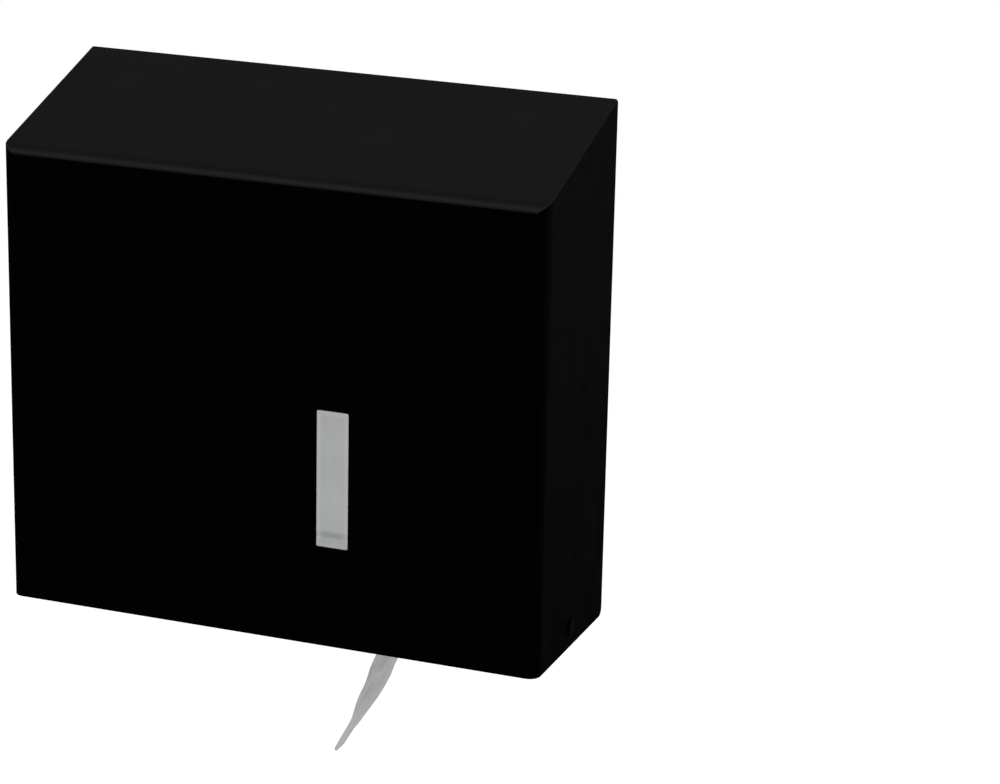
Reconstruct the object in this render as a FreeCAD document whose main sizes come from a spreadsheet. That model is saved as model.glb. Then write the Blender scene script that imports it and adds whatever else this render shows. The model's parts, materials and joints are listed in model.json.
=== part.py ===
import FreeCAD, Part
import os
import re
import Sketcher

# Jumbo toilet roll dispenser, in millimetres.
# The origin lies on the wall plane, on the axis of the roll.
# +X is to the right as seen from the room, +Y goes into the wall and +Z is up.
# A "rise" is a height above the roll's axis, a "drop" a depth below it,
# and a "setback" a distance from the wall plane into the room.

SIZES = {
    # Front cover of folded steel sheet
    "cover_width": 370.0,
    "cover_depth": 126.0,
    "cover_drop": 145.0,
    "cover_front_rise": 160.5,
    "cover_rear_rise": 202.0,
    "cover_sheet": 1.2,
    "front_fold_radius": 7.5,
    "side_fold_radius": 2.0,
    "cover_wall_gap": 1.5,
    "cover_corner_radius": 5.0,
    # Viewing window in the cover
    "window_width": 22.0,
    "window_height": 91.0,
    "window_offset": 45.0,
    "window_sill": 67.0,
    "window_corner_radius": 1.0,
    "pane_fit": 0.15,
    "pane_inset": 0.3,
    "pane_rim": 3.5,
    "pane_rim_thickness": 1.2,
    "frame_border": 2.5,
    "frame_back": 1.8,
    "frame_sill_height": 9.0,
    # Back plate with its side flanges, ears and top lip
    "plate_side_gap": 1.3,
    "plate_sheet": 1.5,
    "plate_bend_radius": 3.0,
    "ear_roof_gap": 4.0,
    "ear_width": 10.0,
    "ear_corner_radius": 4.0,
    "flange_depth": 28.0,
    "flange_roof_gap": 4.8,
    "upper_knee_rise": 20.0,
    "lower_knee_drop": 39.0,
    "lug_front_margin": 9.0,
    "lug_foot_margin": 8.5,
    "lug_heel_margin": 10.0,
    "lug_toe_radius": 6.0,
    "lip_side_margin": 28.5,
    "lip_length": 10.0,
    "lip_tilt": 40.0,
    "lip_corner_radius": 3.0,
    "slot_width": 50.0,
    "slot_height": 8.4,
    "slot_play": 4.8,
    "slot_lip_drop": 4.0,
    # Wall fixing holes
    "keyhole_outer_spacing": 265.0,
    "keyhole_inner_spacing": 200.0,
    "keyhole_rise": 127.0,
    "keyhole_head_radius": 4.25,
    "keyhole_stem_radius": 2.25,
    "keyhole_stem_length": 9.5,
    "screw_hole_spacing": 259.0,
    "screw_hole_drop": 63.0,
    "screw_hole_radius": 2.75,
    # Sloping paper guides
    "guide_gap": 160.0,
    "guide_depth": 102.0,
    "guide_hem_gap": 5.6,
    "guide_tilt": 20.0,
    "guide_sheet": 1.5,
    "guide_side_clearance": 0.4,
    "guide_corner_radius": 1.5,
    "guide_tab_width": 12.0,
    "guide_tab_clearance": 0.3,
    # Cover pivots in the lugs
    "pivot_setback": 63.0,
    "pivot_hem_distance": 13.0,
    "pivot_radius": 3.0,
    "pivot_bore_radius": 1.8,
    "pivot_bore_depth": 6.0,
    "pivot_head_radius": 5.5,
    "pivot_head_thickness": 1.0,
    "pivot_head_bevel": 0.5,
    "bush_radius": 4.5,
    "bush_flange_radius": 6.5,
    "bush_side_clearance": 0.15,
    "washer_radius": 6.5,
    "washer_thickness": 1.0,
    "cap_radius": 6.0,
    "cap_length": 3.5,
    "cap_bevel": 0.8,
    "running_clearance": 0.05,
    # Spindle on the back plate
    "spindle_radius": 5.0,
    "spindle_flange_thickness": 3.0,
    "rivet_radius": 2.0,
    "rivet_head_radius": 3.4,
    "rivet_head_height": 1.5,
    "rivet_hub_gap": 0.6,
    "rivet_edge_margin": 0.5,
    "thrust_washer_radius": 11.0,
    "thrust_washer_thickness": 1.0,
    "retainer_radius": 8.0,
    "retainer_thickness": 1.2,
    "screw_radius": 2.5,
    "screw_length": 14.0,
    "screw_head_radius": 4.7,
    "screw_head_height": 3.0,
    "screw_head_bevel": 1.2,
    "screw_cross_length": 5.2,
    "screw_cross_width": 1.2,
    "screw_cross_depth": 1.8,
    # Turning hub with two wings
    "hub_front_setback": 12.0,
    "hub_radius": 14.5,
    "hub_recess_radius": 10.5,
    "hub_recess_depth": 5.0,
    "hub_end_play": 0.3,
    "wing_angle": 132.0,
    "wing_thickness": 2.6,
    "wing_rear_step": 10.0,
    "wing_front_step": 5.0,
    "wing_pad_thickness": 2.2,
    "wing_pad_span": 22.0,
    "wing_pad_lap": 2.0,
    "wing_pad_clearance": 0.1,
    # Paper roll on its cardboard core
    "roll_radius": 125.0,
    "roll_width": 92.0,
    "roll_wall_gap": 8.0,
    "roll_edge_bevel": 0.8,
    "core_bore_radius": 30.0,
    "core_wall": 2.2,
    "core_fit": 0.05,
    # Loose end of the paper
    "tail_thickness": 0.5,
    "tail_roll_clearance": 0.3,
    "tail_guide_clearance": 4.3,
    "tail_hang": 89.0,
    "tail_tip_offset": 34.4,
    # Blank label on the back plate
    "label_width": 58.0,
    "label_height": 36.0,
    "label_top_rise": 146.0,
    "label_thickness": 0.2,
    # Snap latch under the cover's top
    "latch_pin_setback": 40.0,
    "latch_pin_depth": 6.2,
    "latch_pin_radius": 2.0,
    "latch_roof_gap": 5.1,
    "latch_hook_width": 14.0,
    "latch_hook_thickness": 1.6,
    "latch_boss_radius": 4.5,
    "latch_tip_setback": 1.6,
    "latch_barb_thickness": 1.0,
    "latch_barb_height": 4.5,
    "latch_arm_bend_setback": 31.0,
    "latch_tail_length": 16.0,
    "latch_tail_drop": 1.6,
    "latch_bracket_front_setback": 60.0,
    "latch_bracket_rear_setback": 33.0,
    "latch_bracket_sheet": 1.2,
    "latch_bracket_margin": 6.5,
    "latch_side_clearance": 0.3,
    "latch_spring_thickness": 0.5,
    "latch_spring_length": 7.0,
    "latch_spring_offset": 12.0,
    "latch_spring_clearance": 0.2,
    # One overrun for every cut that passes out of a solid
    "overrun": 5.0,
}

# The loose paper's run in front view: (across, down) as shares of the way
# from the roll's side to the guides' gap,
TAIL_UPPER_SHARES = (
    (0.0, 0.0), (0.018, 0.278), (0.113, 0.502), (0.314, 0.681),
    (0.584, 0.825), (0.845, 0.933), (1.0, 1.0),
)
# and the same from the gap to the torn tip
TAIL_LOWER_SHARES = ((0.228, 0.185), (0.583, 0.588), (0.903, 0.926), (1.0, 1.0))
# Its torn edge, side view: (share of its width from the front, share of the drop from gap to tip)
TAIL_TEAR_SHARES = (
    (0.0, 0.910), (0.055, 0.964), (0.13, 1.0), (0.165, 0.956), (0.2, 0.921), (0.225, 0.862),
    (0.322, 0.9), (0.398, 0.902), (0.455, 0.859), (0.475, 0.795), (0.55, 0.754), (0.638, 0.723),
    (0.68, 0.662), (0.7, 0.514), (0.85, 0.271), (1.0, 0.038),
)
RIVET_COUNT = 3
FULL_TURN = 360

doc = FreeCAD.newDocument("jumbo_roll_dispenser")
sheet = doc.addObject("Spreadsheet::Sheet", "sizes")
for row, (alias, value) in enumerate(SIZES.items(), start=1):
    sheet.set(f"A{row}", alias)
    sheet.set(f"B{row}", str(value))
    sheet.setAlias(f"B{row}", alias)
doc.recompute()

ruler = doc.addObject("App::FeaturePython", "ruler")
nodes = []


def expand(text):
    """Point every plain size name of an expression at the sheet."""
    return re.sub(r"[a-z_]+", lambda word: f"sizes.{word[0]}" if word[0] in SIZES else word[0], text)


def bind(target, path, text):
    target.setExpression(path, expand(text))


def number(text):
    """The present value of an expression."""
    return float(ruler.evalExpression(expand(text)))


def new_body(label, kept=True):
    body = doc.addObject("PartDesign::Body", label)
    body.Label = label
    if kept:
        nodes.append(body)
    return body


def new_sketch(body, name, plane, offset="0"):
    """A sketch on one of the body's own origin planes, moved along its normal."""
    sketch = body.newObject("Sketcher::SketchObject", f"{body.Label}_{name}_sketch")
    support = [item for item in body.Origin.OriginFeatures if item.Role == plane][0]
    sketch.AttachmentSupport = [(support, "")]
    sketch.MapMode = "FlatFace"
    bind(sketch, "AttachmentOffset.Base.z", offset)
    return sketch


def fix_point(sketch, geometry, vertex, place):
    """Hold one vertex of a curve at a pair of expressions."""
    for kind, text in zip(("DistanceX", "DistanceY"), place):
        held = sketch.addConstraint(Sketcher.Constraint(kind, -1, 1, geometry, vertex, number(text)))
        bind(sketch, f"Constraints[{held}]", text)


def add_outline(sketch, points):
    """A closed outline of straight lines through pairs of expressions."""
    places = [FreeCAD.Vector(number(x), number(y), 0) for x, y in points]
    first = sketch.GeometryCount
    for index, start in enumerate(places):
        end = places[(index + 1) % len(places)]
        sketch.addGeometry(Part.LineSegment(start, end), False)
    for index in range(len(places)):
        line = first + index
        following = first + (index + 1) % len(places)
        sketch.addConstraint(Sketcher.Constraint("Coincident", line, 2, following, 1))
        fix_point(sketch, line, 1, points[index])


def add_rectangle(sketch, left, bottom, right, top):
    add_outline(sketch, [(left, bottom), (right, bottom), (right, top), (left, top)])


def add_circle(sketch, centre, radius):
    middle = FreeCAD.Vector(number(centre[0]), number(centre[1]), 0)
    circle = Part.Circle(middle, FreeCAD.Vector(0, 0, 1), number(radius))
    index = sketch.addGeometry(circle, False)
    held = sketch.addConstraint(Sketcher.Constraint("Radius", index, number(radius)))
    bind(sketch, f"Constraints[{held}]", radius)
    fix_point(sketch, index, 3, centre)


def pad(body, sketch, length, symmetric=False):
    feature = body.newObject("PartDesign::Pad", sketch.Name.replace("_sketch", "_pad"))
    feature.Profile = sketch
    if symmetric:
        feature.SideType = "Symmetric"
    bind(feature, "Length", length)
    doc.recompute()
    return feature


def pocket(body, sketch, length=None, towards_room=True, both_ways=False):
    """A cut along the sketch's normal, or both ways, through everything or to a depth."""
    before = body.Shape.Volume
    feature = body.newObject("PartDesign::Pocket", sketch.Name.replace("_sketch", "_cut"))
    feature.Profile = sketch
    feature.Reversed = towards_room
    if both_ways:
        feature.SideType = "Symmetric"
    if length is None:
        feature.Type = "ThroughAll"
    else:
        bind(feature, "Length", length)
    doc.recompute()
    if not body.Shape.Volume < before:
        raise RuntimeError(f"{feature.Name} cuts nothing")
    return feature


def fillet(body, name, radius, test):
    """Round the edges of the body's newest feature that pass the test."""
    base = body.Tip
    edges = [f"Edge{index}" for index, edge in enumerate(base.Shape.Edges, start=1) if test(edge)]
    if not edges:
        raise RuntimeError(f"no edge for {body.Label} {name}")
    feature = body.newObject("PartDesign::Fillet", f"{body.Label}_{name}_fillet")
    feature.Base = (base, edges)
    bind(feature, "Radius", radius)
    doc.recompute()
    return feature


def lies_at(edge, **places):
    """True where the whole edge has these coordinates, taken as distances from zero."""
    box = edge.BoundBox
    near = number("running_clearance")
    for axis, place in places.items():
        low = getattr(box, f"{axis.upper()}Min")
        high = getattr(box, f"{axis.upper()}Max")
        if abs(low - place) > near or abs(high - place) > near:
            return False
    return True


def turned(label, profile):
    """A turned piece: half its section, as (radius, height) pairs, spun about its own Z axis."""
    body = new_body(label)
    sketch = new_sketch(body, "section", "XZ_Plane")
    add_outline(sketch, profile)
    feature = body.newObject("PartDesign::Revolution", f"{label}_turning")
    feature.Profile = sketch
    feature.ReferenceAxis = (sketch, ["V_Axis"])
    feature.Angle = FULL_TURN
    doc.recompute()
    return body


def face_the_room(piece):
    """Stand a piece made along its own Z axis on the wall, pointing into the room."""
    piece.Placement.Rotation = FreeCAD.Rotation(FreeCAD.Vector(1, 0, 0), 90)


def face_the_side(piece, side):
    """Lay a piece made along its own Z axis on the cover's pivot axis, pointing outwards."""
    piece.Placement.Rotation = FreeCAD.Rotation(FreeCAD.Vector(0, 1, 0), 90 * side)
    bind(piece, "Placement.Base.y", "-pivot_setback")
    bind(piece, "Placement.Base.z", f"-{PIVOT_DROP}")


def ring_profile(inner, outer, low, high):
    return [(inner, low), (outer, low), (outer, high), (inner, high)]


SIDES = (("left", -1), ("right", 1))
COVER_SLOPE = "((cover_rear_rise - cover_front_rise) / cover_depth)"
SLOPE_STRETCH = f"sqrt(1 + {COVER_SLOPE} ^ 2)"


def cover_roof(setback, below="0"):
    """Height of the cover's sloping top at a distance from the wall, less a depth of sheet below it."""
    return f"(cover_rear_rise - ({setback}) * {COVER_SLOPE} - ({below}) * {SLOPE_STRETCH})"


PLATE_HALF = "(cover_width / 2 - cover_sheet - plate_side_gap)"
LUG_INSIDE = f"({PLATE_HALF} - plate_sheet)"
COVER_INSIDE = "(cover_depth - cover_sheet)"
COVER_SIDE_INSIDE = "(cover_width / 2 - cover_sheet)"
PIVOT_DROP = "(cover_drop - pivot_hem_distance)"
EAR_RISE = "(cover_rear_rise - ear_roof_gap)"
LATCH_ARM_RISE = f"({cover_roof('latch_bracket_rear_setback')} - latch_roof_gap)"
LATCH_PIN_RISE = f"({cover_roof('latch_bracket_front_setback')} - latch_pin_depth)"
SLOT_SILL_RISE = f"({LATCH_ARM_RISE} - latch_hook_thickness - slot_play)"
NOTCH_RISE = f"({SLOT_SILL_RISE} + slot_lip_drop)"
LIP_HALF = f"({PLATE_HALF} - lip_side_margin)"
WINDOW_LEFT = "(window_offset - window_width / 2)"
WINDOW_RIGHT = "(window_offset + window_width / 2)"
WINDOW_LOW = "(window_sill - cover_drop)"
WINDOW_TOP = "(window_sill - cover_drop + window_height)"
GUIDE_DROP = "(cover_drop - guide_hem_gap)"
GUIDE_SHEET_UPRIGHT = "(guide_sheet / cos(guide_tilt))"
ROLL_FRONT = "(roll_wall_gap + roll_width)"
CORE_OUTER = "(core_bore_radius + core_wall)"
RIVET_CIRCLE = "(hub_radius + rivet_hub_gap + rivet_head_radius)"
SPINDLE_FLANGE_RADIUS = f"({RIVET_CIRCLE} + rivet_head_radius + rivet_edge_margin)"
FLANGE_FRONT = "(plate_sheet + spindle_flange_thickness)"
HUB_BACK = f"({FLANGE_FRONT} + thrust_washer_thickness)"
HUB_FRONT = f"({ROLL_FRONT} - hub_front_setback)"
RECESS_FLOOR = f"({HUB_FRONT} - hub_recess_depth)"
SPINDLE_END = f"({RECESS_FLOOR} + hub_end_play)"


def guide_top(x):
    """Height of a guide's upper face at a distance from the middle."""
    return f"(({x} - guide_gap / 2) * tan(guide_tilt) - {GUIDE_DROP})"


# The cover: front, sloping top and two sides from one folded sheet, open at the back and below
def cover_block(label, inset):
    """The cover's outline as a solid with its folds rounded, set in by a depth of sheet."""
    body = new_body(label, kept=False)
    outline = new_sketch(body, "side_view", "YZ_Plane")
    low, back = ("-cover_drop", "-cover_wall_gap") if inset == "0" else ("-cover_drop - overrun", "overrun")
    front = f"cover_depth - ({inset})"
    add_outline(outline, [
        (back, low),
        (f"- ({front})", low),
        (f"- ({front})", cover_roof(front, inset)),
        (back, cover_roof(f"- ({back})", inset)),
    ])
    pad(body, outline, f"cover_width - 2 * ({inset})", symmetric=True)
    depth = number(front)
    near = number("running_clearance")

    def is_side_fold(edge):
        box = edge.BoundBox
        return box.ZMin > 0 and box.XLength < near and box.YLength > depth / 2

    fillet(body, "front_folds", f"front_fold_radius - ({inset})", lambda edge: (
        lies_at(edge, y=-depth) and edge.BoundBox.ZMax > 0))
    fillet(body, "side_folds", f"side_fold_radius - ({inset})", is_side_fold)
    return body


def make_cover():
    block = cover_block("cover_block", "0")
    hollow = cover_block("cover_hollow", "cover_sheet")
    drop, gap = number("cover_drop"), number("cover_wall_gap")
    fillet(block, "hem_corners", "cover_corner_radius", lambda edge: lies_at(edge, y=-gap, z=-drop))

    window = new_sketch(block, "window", "XZ_Plane")
    add_rectangle(window, WINDOW_LEFT, WINDOW_LOW, WINDOW_RIGHT, WINDOW_TOP)
    pocket(block, window)
    sides = [number(WINDOW_LEFT), number(WINDOW_RIGHT)]
    heights = [number(WINDOW_LOW), number(WINDOW_TOP)]
    fillet(block, "window_corners", "window_corner_radius", lambda edge: any(
        lies_at(edge, x=x, z=z) for x in sides for z in heights))

    pivots = new_sketch(block, "pivot_holes", "YZ_Plane")
    add_circle(pivots, ("-pivot_setback", f"-{PIVOT_DROP}"), "pivot_radius")
    pocket(block, pivots, both_ways=True)
    cover = doc.addObject("Part::Cut", "cover")
    cover.Base = block
    cover.Tool = hollow
    cover.Label = "cover"
    doc.recompute()
    nodes.append(cover)


# The window: a frosted pane with a rim, and the frame that holds it behind the sheet
def make_window():
    pane = new_body("window_pane")
    rim = new_sketch(pane, "rim", "XZ_Plane", f"{COVER_INSIDE} - pane_rim_thickness")
    add_rectangle(rim, f"{WINDOW_LEFT} - pane_rim", f"{WINDOW_LOW} - pane_rim",
                  f"{WINDOW_RIGHT} + pane_rim", f"{WINDOW_TOP} + pane_rim")
    pad(pane, rim, "pane_rim_thickness")
    land = new_sketch(pane, "land", "XZ_Plane", f"{COVER_INSIDE} - pane_rim_thickness")
    add_rectangle(land, f"{WINDOW_LEFT} + pane_fit", f"{WINDOW_LOW} + pane_fit",
                  f"{WINDOW_RIGHT} - pane_fit", f"{WINDOW_TOP} - pane_fit")
    pad(pane, land, "pane_rim_thickness + cover_sheet - pane_inset")
    sides = [number(f"{WINDOW_LEFT} + pane_fit"), number(f"{WINDOW_RIGHT} - pane_fit")]
    heights = [number(f"{WINDOW_LOW} + pane_fit"), number(f"{WINDOW_TOP} - pane_fit")]
    fillet(pane, "land_corners", "window_corner_radius", lambda edge: any(
        lies_at(edge, x=x, z=z) for x in sides for z in heights))

    frame = new_body("window_frame")
    depth = "frame_back + pane_rim_thickness"
    outer = new_sketch(frame, "outer", "XZ_Plane", f"{COVER_INSIDE} - ({depth})")
    border = "pane_rim + frame_border"
    add_rectangle(outer, f"{WINDOW_LEFT} - ({border})", f"{WINDOW_LOW} - ({border})",
                  f"{WINDOW_RIGHT} + {border}", f"{WINDOW_TOP} + {border}")
    pad(frame, outer, depth)
    seat = new_sketch(frame, "seat", "XZ_Plane", f"{COVER_INSIDE} - pane_rim_thickness")
    rim_fit = "pane_rim + pane_fit"
    add_rectangle(seat, f"{WINDOW_LEFT} - ({rim_fit})", f"{WINDOW_LOW} - ({rim_fit})",
                  f"{WINDOW_RIGHT} + {rim_fit}", f"{WINDOW_TOP} + {rim_fit}")
    pocket(frame, seat, "pane_rim_thickness + overrun")
    sight = new_sketch(frame, "sight", "XZ_Plane")
    add_rectangle(sight, WINDOW_LEFT, f"{WINDOW_LOW} + frame_sill_height", WINDOW_RIGHT, WINDOW_TOP)
    pocket(frame, sight)


# The pivots: in each lug a flanged bush, and through it a hollow pin with washer and cap
def make_pivots():
    for name, side in SIDES:
        bush = turned(f"pivot_bush_{name}", [
            ("pivot_radius + running_clearance", LUG_INSIDE),
            ("bush_radius", LUG_INSIDE),
            ("bush_radius", PLATE_HALF),
            ("bush_flange_radius", PLATE_HALF),
            ("bush_flange_radius", f"{COVER_SIDE_INSIDE} - bush_side_clearance"),
            ("pivot_radius + running_clearance", f"{COVER_SIDE_INSIDE} - bush_side_clearance"),
        ])
        washer_top = f"({LUG_INSIDE} - bush_side_clearance)"
        cap_top = f"({washer_top} - washer_thickness)"
        cap_end = f"({cap_top} - cap_length)"
        washer = turned(f"pivot_washer_{name}", ring_profile(
            "pivot_radius", "washer_radius", cap_top, washer_top))
        cap = turned(f"pivot_cap_{name}", [
            ("pivot_radius", cap_end),
            ("cap_radius - cap_bevel", cap_end),
            ("cap_radius", f"{cap_end} + cap_bevel"),
            ("cap_radius", cap_top),
            ("pivot_radius", cap_top),
        ])
        pin = turned(f"pivot_pin_{name}", [
            ("pivot_bore_radius", cap_end),
            ("pivot_radius", cap_end),
            ("pivot_radius", "cover_width / 2"),
            ("pivot_head_radius", "cover_width / 2"),
            ("pivot_head_radius", "cover_width / 2 + pivot_head_thickness - pivot_head_bevel"),
            ("pivot_head_radius - pivot_head_bevel", "cover_width / 2 + pivot_head_thickness"),
            ("0", "cover_width / 2 + pivot_head_thickness"),
            ("0", f"{cap_end} + pivot_bore_depth"),
            ("pivot_bore_radius", f"{cap_end} + pivot_bore_depth"),
        ])
        for piece in (bush, washer, cap, pin):
            face_the_side(piece, side)


def rivet_places():
    """The rivets' places in a ring round the spindle."""
    for index in range(RIVET_COUNT):
        angle = f"(90 + {index} * {FULL_TURN} / {RIVET_COUNT})"
        yield f"{RIVET_CIRCLE} * cos{angle}", f"{RIVET_CIRCLE} * sin{angle}"


# The back plate: flat plate, two side flanges with ears and lugs, and a lip along the top
def make_back_plate():
    body = new_body("back_plate")
    ear_inside = f"({PLATE_HALF} - ear_width)"
    plate = new_sketch(body, "front_view", "XZ_Plane")
    right_half = [
        ("guide_gap / 2", f"-{GUIDE_DROP}"),
        (PLATE_HALF, guide_top(PLATE_HALF)),
        (PLATE_HALF, EAR_RISE),
        (ear_inside, EAR_RISE),
        (ear_inside, NOTCH_RISE),
    ]
    left_half = [(f"-{x}", z) for x, z in reversed(right_half)]
    add_outline(plate, right_half + left_half)
    pad(body, plate, "plate_sheet")

    flange = new_sketch(body, "side_view", "YZ_Plane", LUG_INSIDE)
    lug_front = "-(pivot_setback + lug_front_margin)"
    lug_foot = f"-({PIVOT_DROP} + lug_foot_margin)"
    add_outline(flange, [
        ("0", guide_top(PLATE_HALF)),
        ("-(pivot_setback - lug_heel_margin)", lug_foot),
        (lug_front, lug_foot),
        (lug_front, "-lower_knee_drop"),
        ("-flange_depth", "upper_knee_rise"),
        ("-flange_depth", f"{cover_roof('flange_depth')} - flange_roof_gap"),
        ("0", EAR_RISE),
    ])
    right_flange = pad(body, flange, "plate_sheet")
    mirror = body.newObject("PartDesign::Mirrored", "back_plate_left_flange")
    mirror.Originals = [right_flange]
    mirror.MirrorPlane = ([item for item in body.Origin.OriginFeatures if item.Role == "YZ_Plane"][0], [""])
    body.Tip = mirror
    doc.recompute()

    lip = new_sketch(body, "lip", "YZ_Plane")
    lip_run, lip_climb = "lip_length * sin(lip_tilt)", f"{NOTCH_RISE} + lip_length * cos(lip_tilt)"
    add_outline(lip, [
        ("0", NOTCH_RISE),
        (f"-{lip_run}", lip_climb),
        (f"-{lip_run} - plate_sheet * cos(lip_tilt)", f"{lip_climb} - plate_sheet * sin(lip_tilt)"),
        ("-plate_sheet", f"{NOTCH_RISE} - plate_sheet * tan(lip_tilt / 2)"),
        ("-plate_sheet", f"{NOTCH_RISE} - plate_sheet"),
        ("0", f"{NOTCH_RISE} - plate_sheet"),
    ])
    pad(body, lip, f"2 * {LIP_HALF}", symmetric=True)

    # Bends and rounded corners
    wide, inside, thick = number(PLATE_HALF), number(LUG_INSIDE), number("plate_sheet")
    fillet(body, "outer_bends", "plate_bend_radius", lambda edge: (
        lies_at(edge, x=wide, y=0) or lies_at(edge, x=-wide, y=0)))
    fillet(body, "inner_bends", "plate_bend_radius - plate_sheet", lambda edge: (
        lies_at(edge, x=inside, y=-thick) or lies_at(edge, x=-inside, y=-thick)))
    ear_x, ear_z = number(ear_inside), number(EAR_RISE)
    fillet(body, "ear_corners", "ear_corner_radius", lambda edge: (
        lies_at(edge, x=ear_x, z=ear_z) or lies_at(edge, x=-ear_x, z=ear_z)))
    toe_y, toe_z = number(lug_front), number(lug_foot)
    fillet(body, "lug_toes", "lug_toe_radius", lambda edge: lies_at(edge, y=toe_y, z=toe_z))
    lip_x, lip_y, lip_z = number(LIP_HALF), number(f"-{lip_run}"), number(lip_climb)

    def is_lip_corner(edge):
        at_end = lies_at(edge, x=lip_x) or lies_at(edge, x=-lip_x)
        middle = edge.CenterOfMass
        at_tip = abs(middle.y - lip_y) < thick and abs(middle.z - lip_z) < thick
        return at_end and at_tip and edge.Length < 2 * thick

    fillet(body, "lip_corners", "lip_corner_radius", is_lip_corner)

    # Latch slot, keyholes, screw holes, rivet holes, pivot holes and slots for the guides' tabs
    slot = new_sketch(body, "latch_slot", "XZ_Plane", "-overrun")
    slot_top = f"{SLOT_SILL_RISE} + slot_height"
    add_rectangle(slot, "-slot_width / 2", SLOT_SILL_RISE, "slot_width / 2", slot_top)
    pocket(body, slot)
    heads = new_sketch(body, "keyhole_heads", "XZ_Plane", "-overrun")
    stems = new_sketch(body, "keyhole_stems", "XZ_Plane", "-overrun")
    tops = new_sketch(body, "keyhole_tops", "XZ_Plane", "-overrun")
    stem_top = "(keyhole_rise + keyhole_stem_length - keyhole_stem_radius)"
    for spacing in ("keyhole_outer_spacing", "keyhole_inner_spacing"):
        for sign in ("-", ""):
            middle = f"{sign}{spacing} / 2"
            add_circle(heads, (middle, "keyhole_rise"), "keyhole_head_radius")
            add_circle(tops, (middle, stem_top), "keyhole_stem_radius")
            add_rectangle(stems, f"{middle} - keyhole_stem_radius", "keyhole_rise",
                          f"{middle} + keyhole_stem_radius", stem_top)
    for sketch in (heads, tops, stems):
        pocket(body, sketch)
    screws = new_sketch(body, "screw_holes", "XZ_Plane", "-overrun")
    for sign in ("-", ""):
        add_circle(screws, (f"{sign}screw_hole_spacing / 2", "-screw_hole_drop"), "screw_hole_radius")
    pocket(body, screws)
    rivets = new_sketch(body, "rivet_holes", "XZ_Plane", "-overrun")
    for x, z in rivet_places():
        add_circle(rivets, (x, z), "rivet_radius")
    pocket(body, rivets)
    pivots = new_sketch(body, "pivot_holes", "YZ_Plane")
    add_circle(pivots, ("-pivot_setback", f"-{PIVOT_DROP}"), "bush_radius")
    pocket(body, pivots, both_ways=True)
    tabs = new_sketch(body, "tab_slots", "YZ_Plane")
    tab_reach = "(guide_tab_width / 2 + guide_tab_clearance)"
    add_rectangle(tabs, f"-pivot_setback - {tab_reach}",
                  f"{guide_top(LUG_INSIDE)} - {GUIDE_SHEET_UPRIGHT} - guide_tab_clearance",
                  f"-pivot_setback + {tab_reach}",
                  f"{guide_top(PLATE_HALF)} + guide_tab_clearance")
    pocket(body, tabs, both_ways=True)


# The paper guides: two sheets that slope down to the gap where the paper comes out
def guide_section(side, start, end):
    """The guide's sheet in front view, between two distances from the middle."""
    upper = [(f"{side} * {x}", guide_top(x)) for x in (start, end)]
    lower = [(f"{side} * {x}", f"{guide_top(x)} - {GUIDE_SHEET_UPRIGHT}") for x in (end, start)]
    return upper + lower


def make_guides():
    for name, side in SIDES:
        body = new_body(f"paper_guide_{name}")
        inner = "guide_gap / 2"
        outer = f"({LUG_INSIDE} - guide_side_clearance)"
        sheet_view = new_sketch(body, "front_view", "XZ_Plane")
        add_outline(sheet_view, guide_section(side, inner, outer))
        pad(body, sheet_view, "guide_depth")
        front = -number("guide_depth")
        fillet(body, "front_corners", "guide_corner_radius", lambda edge: (
            lies_at(edge, y=front) and edge.BoundBox.XLength < number("running_clearance")))
        tab = new_sketch(body, "tab", "XZ_Plane", "pivot_setback - guide_tab_width / 2")
        add_outline(tab, guide_section(side, f"({outer} - guide_sheet)", PLATE_HALF))
        pad(body, tab, "guide_tab_width")


# The spindle: a flanged steel shaft riveted to the plate, with the retaining washer and screw
def make_spindle():
    spindle = turned("spindle", [
        ("0", "plate_sheet"),
        (SPINDLE_FLANGE_RADIUS, "plate_sheet"),
        (SPINDLE_FLANGE_RADIUS, FLANGE_FRONT),
        ("spindle_radius", FLANGE_FRONT),
        ("spindle_radius", SPINDLE_END),
        ("screw_radius", SPINDLE_END),
        ("screw_radius", f"{SPINDLE_END} - screw_length"),
        ("0", f"{SPINDLE_END} - screw_length"),
    ])
    holes = new_sketch(spindle, "rivet_holes", "XY_Plane", "plate_sheet")
    for x, y in rivet_places():
        add_circle(holes, (x, y), "rivet_radius")
    pocket(spindle, holes, "spindle_flange_thickness")
    thrust = turned("thrust_washer", ring_profile(
        "spindle_radius", "thrust_washer_radius", FLANGE_FRONT, HUB_BACK))
    retainer_front = f"({SPINDLE_END} + retainer_thickness)"
    head_top = f"({retainer_front} + screw_head_height)"
    retainer = turned("hub_retainer", ring_profile(
        "screw_radius", "retainer_radius", SPINDLE_END, retainer_front))
    screw = turned("hub_screw", [
        ("0", f"{SPINDLE_END} - screw_length"),
        ("screw_radius", f"{SPINDLE_END} - screw_length"),
        ("screw_radius", retainer_front),
        ("screw_head_radius", retainer_front),
        ("screw_head_radius", f"{head_top} - screw_head_bevel"),
        ("screw_head_radius - screw_head_bevel", head_top),
        ("0", head_top),
    ])
    for name, across, along in (("slot_a", "screw_cross_length", "screw_cross_width"),
                                ("slot_b", "screw_cross_width", "screw_cross_length")):
        cross = new_sketch(screw, name, "XY_Plane", f"{head_top} - screw_cross_depth")
        add_rectangle(cross, f"-{across} / 2", f"-{along} / 2", f"{across} / 2", f"{along} / 2")
        pocket(screw, cross, "screw_cross_depth + overrun")
    for piece in (spindle, thrust, retainer, screw):
        face_the_room(piece)


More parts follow.
